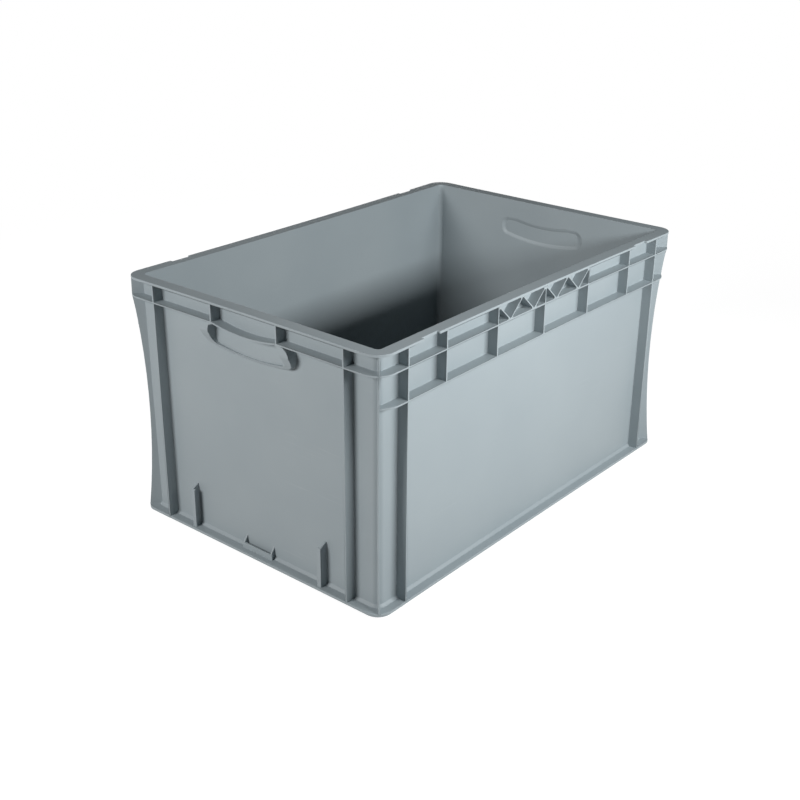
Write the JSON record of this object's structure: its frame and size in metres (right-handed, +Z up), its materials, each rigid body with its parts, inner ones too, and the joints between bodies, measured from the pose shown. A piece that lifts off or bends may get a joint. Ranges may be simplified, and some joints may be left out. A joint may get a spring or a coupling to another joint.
{
  "type": "stacking container",
  "caption": "Open rectangular stacking container with a ribbed band under its rim, hollowed corner fins, shell grips on the short sides and a recessed stacking foot.",
  "frame": {"origin": "centre of the underside of the stacking foot, on the surface the container stands on", "axes": "+X along the long side, +Y along the short side, +Z up"},
  "size_m": [0.6, 0.4, 0.32],
  "materials": {
    "grey_plastic": "fine matt moulded surface"
  },
  "bodies": {
    "root": {"container": "grey_plastic"}
  },
  "joints": []
}
